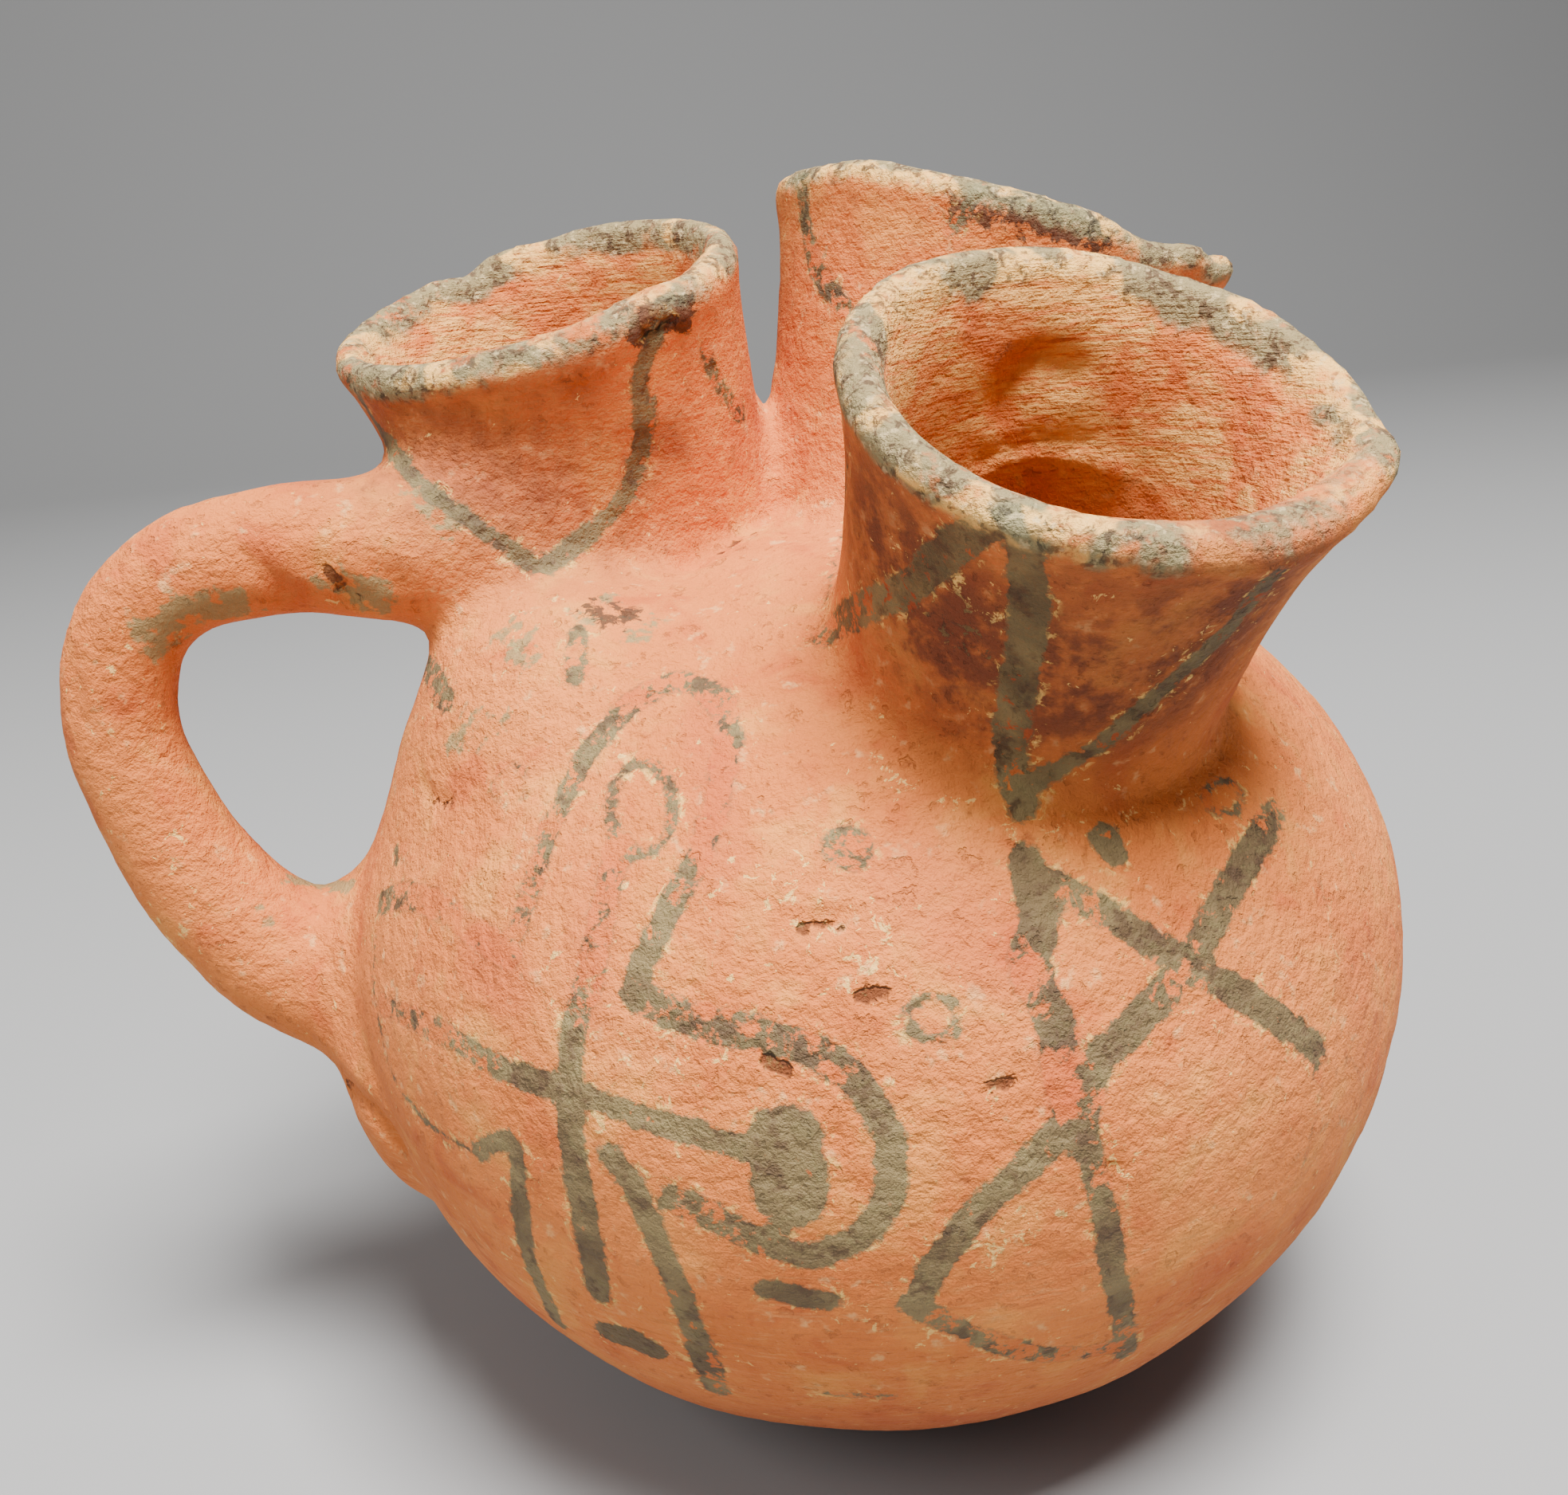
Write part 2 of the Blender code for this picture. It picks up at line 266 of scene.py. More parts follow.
def roll(x, y, z, points, radii):
    """Distance from a roll of clay along a line of points."""
    nearest = np.full(np.broadcast_shapes(x.shape, y.shape, z.shape), 1.0, np.float32)
    for start, end, first, last in zip(points[:-1], points[1:], radii[:-1], radii[1:]):
        step = end - start
        part = (x - start[0]) * step[0] + (y - start[1]) * step[1] + (z - start[2]) * step[2]
        part = np.clip(part / (step @ step), 0, 1)
        away = np.sqrt((x - start[0] - part * step[0]) ** 2 + (y - start[1] - part * step[1]) ** 2
                       + (z - start[2] - part * step[2]) ** 2)
        nearest = np.minimum(nearest, away - first - part * (last - first))
    return nearest


def pad_form(x, y, z, pad):
    """Distance from an oval pad of clay between two points of the globe, sunk into it."""
    along = (pad.upper_end - pad.lower_end).normalized()
    middle = (pad.upper_end + pad.lower_end) / 2
    outward = Vector((middle.x, middle.y, middle.z - WIDEST_LEVEL)).normalized()
    across = outward.cross(along).normalized()
    middle = middle - outward * pad.sink
    half = (pad.width / 2, pad.thickness / 2, (pad.upper_end - pad.lower_end).length / 2)
    local = [(x - middle.x) * way.x + (y - middle.y) * way.y + (z - middle.z) * way.z
             for way in (across, along.cross(across), along)]
    near = np.sqrt(sum((distance / size) ** 2 for distance, size in zip(local, half)))
    slope = np.sqrt(sum((distance / size ** 2) ** 2 for distance, size in zip(local, half)))
    return near * (near - 1) / np.maximum(slope, 1e-4)


PADS = (
    Pad(dome_point(170, BODY_RADIUS * sin(radians(28.7))), dome_point(201, BODY_RADIUS * sin(radians(60.1))),
        0.054, 0.048, 0.0125, 0.008),
    Pad(belly_point(180, WIDEST_LEVEL), belly_point(191, WIDEST_LEVEL - 0.027), 0.032, 0.012, 0.0, 0.005),
)
route_points, route_radii = handle_route()
handle_cells = int((-0.02 - grid_corner[0]) / GRID_STEP)
beside_handle = roll(gx[:handle_cells], gy, gz, route_points, route_radii)
handle_softness = 0.005 + 0.008 * np.clip((gz - 0.095) / 0.02, 0, 1)
clay[:handle_cells] = joined(clay[:handle_cells], beside_handle, handle_softness)
for pad in PADS:
    clay = joined(clay, pad_form(gx, gy, gz, pad), pad.softness)

# Shell
# With the outside joined and wiped, the jug is hollow and open through its three spouts. The
# surface of the field becomes the mesh, and the floor of the hollow, which nothing shows,
# is thinned out.
HOLLOW_ROUNDING = 0.0036
FLAT_ROUNDING = 0.0006
HIDDEN_LEVEL = 0.112       # the hollow below it is out of sight
HIDDEN_SHARE = 0.5         # of all faces kept when only the hidden ones are thinned

shell = without(clay, hollow, HOLLOW_ROUNDING)
shell = without(shell, gz + 0 * shell, FLAT_ROUNDING)
cells = openvdb.FloatGrid(3.0)
cells.copyFromArray(np.clip(shell / GRID_STEP, -3, 3).astype(np.float32))
cells.gridClass = openvdb.GridClass.LEVEL_SET
shell_points, shell_quads = cells.convertToQuads(isovalue=0.0)
shell_points = np.array(shell_points, dtype=np.float64) * GRID_STEP + grid_corner
shell_points[:, 2] = np.maximum(shell_points[:, 2], 0)


def sampled(field, points):
    """Values of a grid field at points."""
    place = (points - grid_corner) / GRID_STEP
    base = np.clip(np.floor(place).astype(int), 0, np.array(field.shape) - 2)
    part = place - base
    total = 0
    for dx in (0, 1):
        for dy in (0, 1):
            for dz in (0, 1):
                share = (np.abs(1 - dx - part[:, 0]) * np.abs(1 - dy - part[:, 1])
                         * np.abs(1 - dz - part[:, 2]))
                total = total + share * field[base[:, 0] + dx, base[:, 1] + dy, base[:, 2] + dz]
    return total


def as_doubles(array):
    """An array of numbers at full precision."""
    return np.array(array, dtype=np.float64)


within = np.abs(sampled(hollow, shell_points)) < np.abs(sampled(clay, shell_points))
hidden = np.flatnonzero(within & (shell_points[:, 2] < HIDDEN_LEVEL))
mesh = bpy.data.meshes.new("clay_shell")
mesh.from_pydata(shell_points.tolist(), [], np.array(shell_quads)[:, ::-1].tolist())
mesh.update()
blank = bpy.data.objects.new("clay_shell", mesh)
bpy.context.scene.collection.objects.link(blank)
blank.vertex_groups.new(name="hidden").add(hidden.tolist(), 1.0, "REPLACE")
thinning = blank.modifiers.new("thin out what is hidden", "DECIMATE")
thinning.vertex_group = "hidden"
thinning.ratio = 1 - len(hidden) / len(shell_points) * (1 - HIDDEN_SHARE)

# Hand finish
# Palms and fingers leave the ball slightly lumpy, and the coarse clay leaves a low grain. The
# tree moves the skin along its normals by three sizes of unevenness, and keeps it flat where
# the jug stands.


class Wire:
    """A node's output, which adds, multiplies and compares as a number does."""

    def __init__(self, bench, socket):
        self.bench, self.socket = bench, socket

    def worked(self, operation, first, second):
        return self.bench.node("ShaderNodeMath", {"operation": operation},
                               {"Value": first, "Value_001": second})

    def __add__(self, other): return self.worked("ADD", self, other)
    def __radd__(self, other): return self.worked("ADD", other, self)
    def __sub__(self, other): return self.worked("SUBTRACT", self, other)
    def __rsub__(self, other): return self.worked("SUBTRACT", other, self)
    def __mul__(self, other): return self.worked("MULTIPLY", self, other)
    def __rmul__(self, other): return self.worked("MULTIPLY", other, self)
    def __rtruediv__(self, other): return self.worked("DIVIDE", other, self)

    def most(self, other): return self.worked("MAXIMUM", self, other)
    def size(self): return self.worked("ABSOLUTE", self, 0.0)

    def rise(self, low, high):
        """0 below low, 1 above high and smooth between; the other way round if low is the higher."""
        return self.bench.node("ShaderNodeMapRange", {"interpolation_type": "SMOOTHSTEP"},
                               {"Value": self, "From Min": low, "From Max": high})


class Bench:
    """A node tree being put together."""

    def __init__(self, tree):
        self.tree = tree

    def node(self, kind, settings=None, values=None, output=0):
        """Add a node, set it, fill or link its sockets by identifier, and hand back one output."""
        made = self.tree.nodes.new(kind)
        for name, value in (settings or {}).items():
            setattr(made, name, value)
        sockets = {socket.identifier: socket for socket in made.inputs}
        for name, value in (values or {}).items():
            if isinstance(value, Wire):
                self.tree.links.new(value.socket, sockets[name])
            else:
                sockets[name].default_value = value
        return Wire(self, made.outputs[output])

    def uneven(self, size, detail, roughness, where, distortion=0.0):
        """Noise of a size in metres."""
        return self.node("ShaderNodeTexNoise", {}, {"Vector": where, "Scale": 1 / size, "Detail": detail,
                                                    "Roughness": roughness, "Distortion": distortion})


finish_tree = bpy.data.node_groups.new("hand_finish", "GeometryNodeTree")
finish_tree.interface.new_socket("Skin", in_out="INPUT", socket_type="NodeSocketGeometry")
FINISH_SIZES = (("Palm Size", 0.026), ("Palm Depth", 0.0011), ("Finger Size", 0.0085),
                ("Finger Depth", 0.0005), ("Grit Size", 0.0026), ("Grit Depth", 0.00022),
                ("Flat Level", 0.0035))
finish_inputs = {}
for name, value in FINISH_SIZES:
    finish_inputs[name] = finish_tree.interface.new_socket(name, in_out="INPUT",
                                                           socket_type="NodeSocketFloat")
finish_inputs["Finish"] = finish_tree.interface.new_socket("Finish", in_out="INPUT",
                                                           socket_type="NodeSocketMaterial")
finish_tree.interface.new_socket("Skin", in_out="OUTPUT", socket_type="NodeSocketGeometry")
bench = Bench(finish_tree)
given_node = finish_tree.nodes.new("NodeGroupInput")
given = {socket.name: Wire(bench, socket) for socket in given_node.outputs}
place = bench.node("GeometryNodeInputPosition")
height = bench.node("ShaderNodeSeparateXYZ", {}, {"Vector": place}, 2)
uneven = 0.0
for kind, detail in (("Palm", 1.0), ("Finger", 2.0), ("Grit", 2.0)):
    noise = bench.node("ShaderNodeTexNoise", {}, {"Vector": place, "Scale": 1 / given[kind + " Size"],
                                                  "Detail": detail})
    uneven = (noise - 0.5) * given[kind + " Depth"] + uneven
kept_flat = height.rise(0.0004, given["Flat Level"])
normal = bench.node("GeometryNodeInputNormal")
push = bench.node("ShaderNodeVectorMath", {"operation": "SCALE"},
                  {"Vector": normal, "Scale": uneven * kept_flat})
pushed = bench.node("GeometryNodeSetPosition", {}, {"Geometry": given["Skin"], "Offset": push})
pushed = bench.node("GeometryNodeSetShadeSmooth", {}, {"Geometry": pushed})
pushed = bench.node("GeometryNodeRealizeInstances", {}, {"Geometry": pushed})
pushed = bench.node("GeometryNodeSetMaterial", {}, {"Geometry": pushed, "Material": given["Finish"]})
finish_end = finish_tree.nodes.new("NodeGroupOutput")
finish_tree.links.new(pushed.socket, finish_end.inputs[0])

fired_clay = bpy.data.materials.new("fired_clay")
finishing = blank.modifiers.new("hand finish", "NODES")
finishing.node_group = finish_tree
for name, value in FINISH_SIZES:
    finishing[finish_inputs[name].identifier] = value
finishing[finish_inputs["Finish"].identifier] = fired_clay
bpy.context.view_layer.update()
skin = bpy.data.meshes.new_from_object(blank.evaluated_get(bpy.context.evaluated_depsgraph_get()))
bpy.data.objects.remove(blank)

# Dents and creases
# Where a finger sank in, a joint stayed open or a stone fell out. Each is a line of pixels of the
# photograph, cast on to the clay, with its width and depth in millimetres; a negative depth
# is a raised ridge.
points = np.empty(len(skin.vertices) * 3)
skin.vertices.foreach_get("co", points)
points = points.reshape(-1, 3)
normals = np.empty(len(skin.vertices) * 3)
skin.vertices.foreach_get("normal", normals)
normals = normals.reshape(-1, 3)
faces = [tuple(face.vertices) for face in skin.polygons]
target = BVHTree.FromPolygons([tuple(point) for point in points], faces)


def cast(pixels, spacing=9.0):
    """A curve through rows of (x, y, more) in pixels, cast on to the clay: its points, and more at each."""
    rows = as_doubles(pixels)
    if len(rows) > 1:
        ends = np.vstack((2 * rows[0] - rows[1], rows, 2 * rows[-1] - rows[-2]))
        curve = []
        for before, first, second, after in zip(ends, ends[1:], ends[2:], ends[3:]):
            steps = max(2, int(np.hypot(*(second - first)[:2]) / spacing))
            for part in np.arange(steps) / steps:
                curve.append(0.5 * (2 * first + (second - before) * part
                                    + (2 * before - 5 * first + 4 * second - after) * part ** 2
                                    + (3 * first - before - 3 * second + after) * part ** 3))
        rows = np.array(curve + [rows[-1]])
    found, more = [], []
    for row in rows:
        hit = target.ray_cast(viewer.location, sight_line(row[0], row[1]))[0]
        if hit is not None:
            found.append(hit)
            more.append(row[2:])
    return as_doubles(found), as_doubles(more)


def distances(line, spots, more=None):
    """Distance in millimetres from spots to a line of points, and what the line carries there."""
    nearest = np.full(len(spots), 99.0)
    carried = np.zeros(len(spots))
    if len(line) == 1:
        line = np.vstack((line, line + 1e-6))
        more = None if more is None else np.vstack((more, more))
    for i in range(len(line) - 1):
        step = line[i + 1] - line[i]
        if np.linalg.norm(step) > 0.012:
            continue
        part = np.clip((spots - line[i]) @ step / max(step @ step, 1e-18), 0, 1)
        away = np.linalg.norm(spots - line[i] - part[:, None] * step, axis=1) * 1000
        closer = away < nearest
        nearest = np.where(closer, away, nearest)
        if more is not None:
            carried = np.where(closer, more[i, 0] * (1 - part) + more[i + 1, 0] * part, carried)
    return nearest, carried


def close_by(line, reach):
    """Numbers of the mesh points within a box round a line."""
    low, high = line.min(axis=0) - reach, line.max(axis=0) + reach
    return np.flatnonzero(np.all((points > low) & (points < high), axis=1))


DENT_SOFTNESS = 1.2
DENTS = (
    (6.0, 0.9, ((1255, 500), (1290, 468), (1330, 470))),
    (3.4, 1.1, ((1262, 520), (1275, 470), (1310, 447), (1345, 462))),
    (3.0, -0.9, ((1215, 600), (1270, 572), (1340, 570), (1400, 590))),
    (2.0, 0.8, ((1225, 582), (1290, 556), (1360, 556))),
    (3.6, 1.6, ((862, 706), (900, 676), (950, 648), (990, 622))),
    (3.4, -0.9, ((890, 720), (940, 690), (990, 660))),
    (3.0, 0.9, ((300, 700), (330, 716), (352, 742))),
    (2.8, -0.8, ((415, 716), (452, 730))),
    (2.8, 0.8, ((470, 712), (500, 730))),
    (3.0, 0.5, ((230, 640), (260, 620))),
    (2.6, 0.5, ((90, 820), (96, 900))),
    (5.0, 0.6, ((800, 600), (812, 560))),
    (2.8, 0.8, ((527, 985), (545, 1006), (560, 1004))),
    (3.4, 1.1, ((392, 1318), (430, 1360), (470, 1400), (500, 1436))),
    (2.0, -0.4, ((402, 1300), (450, 1345), (485, 1390))),
    (1.5, 1.1, ((1397, 1458), (1404, 1466))),
    (3.2, 1.1, ((400, 706), (425, 728), (440, 752))),
    (1.6, 0.5, ((440, 722), (470, 742))),
    (2.2, 0.6, ((1075, 900), (1120, 950), (1190, 990), (1270, 1018), (1380, 1016), (1470, 992), (1540, 940))),
    (2.0, -0.25, ((1075, 930), (1130, 978), (1200, 1012), (1280, 1040), (1390, 1038), (1480, 1012))),
    (1.6, -0.7, ((800, 420), (806, 398), (830, 390), (856, 396))),
    (1.5, 0.9, ((806, 420), (826, 412), (850, 402))),
    (1.2, 0.5, ((500, 512), (560, 506), (620, 520))),
    (1.2, 0.4, ((540, 540), (600, 548), (650, 540))),
    (1.4, -0.4, ((1250, 660), (1330, 672), (1420, 690))),
    (3.4, 0.7, ((1030, 1165), (1060, 1150))),
    (2.5, -0.4, ((965, 1110), (1010, 1128), (1050, 1120))),
    (2.0, 0.5, ((980, 1150), (1020, 1140))),
    (1.6, 0.5, ((1180, 1000), (1240, 1024), (1290, 1028))),
)
shift = np.zeros(len(points))
for width, depth, line in DENTS:
    traced, _ = cast(line)
    if len(traced) == 0:
        continue
    chosen = close_by(traced, 0.003 * width)
    away, _ = distances(traced, points[chosen])
    shift[chosen] -= depth / 1000 * np.exp(-(away / (width / 2)) ** 2 * DENT_SOFTNESS)
shift *= np.clip((points[:, 2] - 0.001) / 0.003, 0, 1)
points = points + shift[:, None] * normals
points[:, 2] = np.maximum(points[:, 2], 0)
skin.vertices.foreach_set("co", points.ravel())
skin.update()

# Brush strokes
# Thin grey-black paint, brushed on before firing in loose lines, loops and dots, and worn since:
# each stroke gives its width in millimetres and rows of (x, y, kept), where kept is 0 for
# a reddish ghost and 1 for paint that is nearly whole.
STROKES = (
    (3.6, ((650, 1165, .25), (690, 1040, .45), (715, 985, .6), (750, 930, .55), (800, 880, .35),
           (850, 855, .45), (905, 880, .4), (912, 935, .2), (890, 1040, .15), (845, 1130, .65),
           (810, 1200, .85), (795, 1245, .8))),
    (4.0, ((795, 1245, .7), (870, 1280, .5), (960, 1300, .55), (1040, 1330, .5), (1085, 1370, .8),
           (1115, 1430, .95), (1115, 1500, .95), (1080, 1550, .95), (1020, 1575, .9), (950, 1555, .6),
           (880, 1520, .5), (845, 1505, .6))),
    (4.0, ((775, 1060, .15), (755, 1150, .2), (738, 1230, .3), (718, 1300, .7), (715, 1400, .95),
           (725, 1480, .95), (740, 1560, .9), (750, 1620, .9))),
    (5.0, ((765, 1672, .85), (790, 1680, .9), (812, 1690, .85))),
    (3.4, ((480, 1260, .15), (560, 1300, .4), (640, 1345, .8), (720, 1370, .9), (800, 1400, .85),
           (880, 1425, .85), (940, 1440, .9))),
    (8.5, ((985, 1430, .9), (990, 1465, .9), (992, 1500, .9))),
    (4.0, ((480, 1130, .6), (520, 1125, .2), (570, 1150, .1), (640, 1200, .1))),
    (1.2, ((470, 1170, .6), (470, 1250, .6), (490, 1340, .6), (520, 1390, .7), (560, 1430, .8),
           (600, 1445, .9))),
    (3.0, ((600, 1443, .9), (640, 1432, 1), (650, 1480, 1), (655, 1530, 1), (665, 1580, .95),
           (690, 1640, .8), (700, 1660, .7))),
    (3.8, ((770, 1455, .9), (800, 1500, .9), (830, 1570, .9), (860, 1640, .85), (885, 1710, .7),
           (900, 1745, .6))),
    (3.2, ((962, 1618, .9), (1040, 1632, .9))),
    (2.0, ((1030, 1748, .4), (1120, 1753, .4))),
    (3.2, ((725, 790, .6), (722, 850, .6))),
    (2.2, ((922, 905, .9), (928, 932, .9))),
    (5.5, ((1058, 1060, .45), (1066, 1064, .45))),
    (1.6, ((497, 1065, .9), (497, 1080, .9))),
    (4.6, ((1288, 1085, .95), (1302, 1125, .9), (1303, 1172, .95), (1292, 1215, .1), (1312, 1260, .6),
           (1322, 1285, .85), (1330, 1330, .2), (1345, 1390, .1))),
    (3.8, ((1320, 1105, .5), (1380, 1140, .6), (1440, 1180, .8), (1500, 1215, .5), (1560, 1250, .95),
           (1620, 1290, .95), (1652, 1315, .8))),
    (1.6, ((1652, 1315, .8), (1650, 1350, .6))),
    (4.0, ((1600, 1020, .5), (1570, 1070, .75), (1540, 1120, .85), (1515, 1170, .8), (1490, 1210, .3),
           (1440, 1270, .9), (1390, 1320, .85), (1365, 1370, .4), (1330, 1420, .85), (1280, 1470, .9),
           (1220, 1530, .85), (1180, 1580, .95), (1145, 1640, .95))),
    (3.6, ((1145, 1640, .95), (1200, 1665, .5), (1260, 1690, .4), (1330, 1700, .35), (1400, 1690, .3))),
    (3.4, ((1370, 1370, .3), (1362, 1420, .8), (1375, 1480, .5), (1390, 1540, .9), (1398, 1600, .9),
           (1410, 1650, .7), (1412, 1700, .5))),
    (3.8, ((1386, 1050, .9), (1394, 1068, .9))),
    (0.5, ((1650, 1080, .35), (1670, 1170, .35), (1675, 1250, .35), (1650, 1400, .35),
           (1630, 1480, .35))),
    (4.2, ((1290, 650, 1), (1285, 700, 1), (1290, 760, .95), (1285, 820, .9), (1275, 880, .7),
           (1265, 940, .6), (1283, 1012, 1))),
    (4.2, ((1290, 652, 1), (1230, 665, .9), (1190, 690, .85), (1150, 730, .6), (1110, 752, .7),
           (1060, 775, .5), (1035, 795, .4))),
    (2.8, ((1600, 720, .6), (1530, 800, .8), (1470, 855, .8), (1420, 900, .8), (1370, 940, .7),
           (1310, 975, .9), (1285, 1000, 1))),
    (1.2, ((1065, 560, .6), (1060, 620, .6))),
    (0.8, ((1060, 640, .5), (1035, 760, .5))),
    (2.6, ((440, 480, .8), (480, 545, .8), (520, 600, .85), (570, 640, .85), (620, 675, .9),
           (670, 712, .95))),
    (3.0, ((830, 405, .9), (805, 470, .9), (805, 540, .85), (795, 600, .8), (765, 645, .85),
           (725, 680, .85), (690, 712, .95))),
    (1.5, ((820, 500, .6), (815, 560, .5), (800, 620, .4))),
    (3.0, ((885, 440, .4), (900, 480, .4), (930, 520, .4))),
    (3.8, ((430, 770, .55), (480, 790, .55), (530, 830, .55), (560, 880, .55))),
    (3.4, ((1005, 230, .5), (1012, 290, .5), (1030, 350, .45), (1068, 392, .4))),
    (2.4, ((1228, 238, .8), (1213, 262, .7), (1190, 290, .4))),
)
# On the side away from the photograph: rows of (bearing in degrees, level in millimetres, kept)
BACK_STROKES = (
    (3.6, ((60, 92, .7), (67, 80, .8), (72, 70, .9), (79, 59, .9), (84, 48, .8), (90, 34, .6))),
    (3.6, ((92, 90, .6), (85, 78, .8), (80, 68, .9), (74, 58, .9), (70, 48, .8), (64, 36, .6))),
    (3.8, ((118, 84, .6), (121, 74, .8), (126, 62, .9), (129, 52, .9), (134, 42, .9), (137, 30, .6))),
    (3.4, ((118, 84, .4), (126, 84, .6), (134, 82, .7), (141, 77, .7), (147, 70, .8), (150, 61, .8),
           (149, 52, .8), (145, 45, .7), (138, 41, .6), (132, 42, .5))),
    (3.0, ((104, 62, .7), (106, 58, .7))),
    (3.0, ((160, 82, .5), (162, 76, .5))),
)
# Each ring: width in millimetres, centre x and y, radii x and y in pixels, kept
RINGS = (
    (1.8, 805, 1015, 40, 57, .6),
    (1.0, 640, 985, 22, 26, .3),
    (1.6, 1172, 1277, 34, 28, .7),
    (1.2, 1535, 1000, 22, 20, .5),
    (0.6, 1690, 1370, 18, 40, .2),
)
rings = tuple((width, tuple((cx + rx * cos(turn * pi / 8), cy + ry * sin(turn * pi / 8), kept)
                            for turn in range(17)))
              for width, cx, cy, rx, ry, kept in RINGS)
PAINT_REACH = 0.007
UNPAINTED = 6.0            # millimetres from a stroke's edge, where none is near
outside = np.abs(sampled(clay, points)) < np.abs(sampled(hollow, points))
paint_edge = np.full(len(points), UNPAINTED)
paint_kept = np.zeros(len(points))
traced_strokes = [(width,) + cast(line) for width, line in STROKES + rings]
for width, line in BACK_STROKES:
    bearings, levels, kept = as_doubles(line).T
    steps = np.linspace(0, len(line) - 1, 12 * len(line))
    level = np.interp(steps, range(len(line)), levels) / 1000
    bearing = np.radians(np.interp(steps, range(len(line)), bearings))
    away = BODY_RADIUS * np.sqrt(np.maximum(1 - ((level - WIDEST_LEVEL) / DOME_RISE) ** 2, 0))
    traced_strokes.append((width, np.stack((away * np.cos(bearing), away * np.sin(bearing), level), axis=1),
                           np.interp(steps, range(len(line)), kept)[:, None]))
for width, traced, more in traced_strokes:
    if len(traced) == 0:
        continue
    chosen = close_by(traced, PAINT_REACH)
    chosen = chosen[outside[chosen]]
    away, kept = distances(traced, points[chosen], more)
    edge = away - width / 2
    nearer = edge < paint_edge[chosen]
    paint_edge[chosen[nearer]] = edge[nearer]
    paint_kept[chosen[nearer]] = kept[nearer]

# Stains, deposits and painted shade
# What burial, soot and handling left on the clay: cream and grey-green crusts on the rims and
# round the worn strokes, soot under two lips, redder and rust-brown clay; the rust-brown patches
# below the front and left lips are also painted shade. Each patch is a reach in millimetres, a
# strength and a line of pixels.
CREAM = (
    (5, .6, ((720, 1380), (730, 1420))), (5, .5, ((870, 1300), (900, 1310))),
    (6, .5, ((1180, 1580), (1280, 1550))), (7, .5, ((970, 1120), (1080, 1200))),
    (3.4, .35, ((690, 755), (700, 770))),
    (1.6, .55, ((1080, 925), (1130, 972), (1200, 1006), (1280, 1036), (1390, 1034),
                (1480, 1006), (1530, 960))),
    (4, .45, ((690, 1200), (700, 1240))), (4, .5, ((1490, 1200), (1500, 1240))),
    (5, .3, ((960, 1600), (1100, 1600))), (3, .9, ((1400, 1450), (1412, 1462))),
    (5, .35, ((640, 1490), (660, 1600))), (6, .35, ((1060, 1640), (1240, 1680))),
    (5, .55, ((1480, 850), (1520, 800))), (6, .5, ((1150, 700), (1220, 790))),
    (3, .5, ((640, 770), (655, 830))), (7, .35, ((760, 1290), (860, 1350))),
    (8, .3, ((240, 1180), (180, 1060))), (8, .3, ((150, 980), (130, 860))),
)
GREY = (
    (3.5, .7, ((640, 790), (655, 830))), (4.5, .7, ((430, 735), (460, 752))),
    (3.5, .45, ((560, 940), (620, 900))), (4, .75, ((190, 800), (240, 770), (300, 758))),
    (3, .5, ((215, 790), (290, 764))), (3, .6, ((1003, 225), (1012, 270))),
    (3, .35, ((1010, 290), (1040, 360))), (2.5, .55, ((520, 620), (560, 660))),
    (5, .35, ((760, 760), (800, 790))), (2.2, .5, ((310, 1130), (330, 1160))),
    (1.8, .8, ((360, 1105), (440, 1112))),
)
SOOT = (
    (3.2, 1.0, ((806, 412), (830, 400), (856, 394))), (4, .5, ((750, 765), (775, 775))),
    (4.5, .9, ((1300, 262), (1340, 275))), (2.4, .7, ((1222, 240), (1205, 268))),
    (3, .6, ((1240, 262), (1390, 300))), (5, .25, ((1180, 760), (1220, 800))),
)
REDDER = (
    (5, .6, ((600, 1200), (640, 1240))), (4, .5, ((1330, 1320), (1345, 1380))),
    (4, .5, ((880, 900), (905, 1080))), (4, .5, ((750, 1100), (735, 1260))),
    (6, .4, ((1700, 1200), (1720, 1300))), (7, .5, ((1150, 1100), (1250, 1200))),
    (5, .5, ((1440, 1660), (1560, 1560))), (6, .5, ((560, 560), (700, 620))),
)
# Rust-brown clay that also carries painted shade: the near sides of the front and left spouts just below
# their lips, which face down and away from the overhead light.
RUST_AND_LIP_SHADE = (
    (17, .95, ((1120, 700), (1200, 800), (1300, 850), (1420, 850), (1520, 780))),
    (9, .8, ((1100, 620), (1140, 700))), (8, .6, ((1330, 720), (1560, 720))),
    (15, .6, ((500, 540), (600, 610), (730, 620))), (7, .5, ((480, 500), (700, 480))),
    (6, .5, ((760, 640), (840, 560))),
)
CRACKS = (
    ((1238, 1366), (1252, 1358), (1272, 1360)), ((1000, 1168), (1030, 1160), (1062, 1163)),
    ((806, 424), (822, 410), (846, 404)), ((530, 992), (546, 1008), (562, 1004)),
    ((398, 1322), (440, 1368), (470, 1398)), ((905, 690), (930, 668), (948, 662)),
    ((862, 704), (900, 674), (950, 646), (988, 623)),
    ((1262, 520), (1272, 482), (1300, 462), (1332, 462)), ((960, 1330), (990, 1345)),
    ((1080, 1250), (1110, 1246)), ((395, 712), (418, 722), (428, 744), (450, 752)),
)


def patches(rows):
    """Strength of a patch at each point of the skin: a stain, a deposit, or rust-brown clay with painted
    shade.
    """
    strength = np.zeros(len(points))
    for reach, most, line in rows:
        traced, _ = cast(line)
        if len(traced) == 0:
            continue
        chosen = close_by(traced, 0.0015 * reach)
        away, _ = distances(traced, points[chosen])
        level = np.clip(1.25 - away / reach, 0, 1)
        strength[chosen] = np.maximum(strength[chosen], most * level * level * (3 - 2 * level))
    return strength


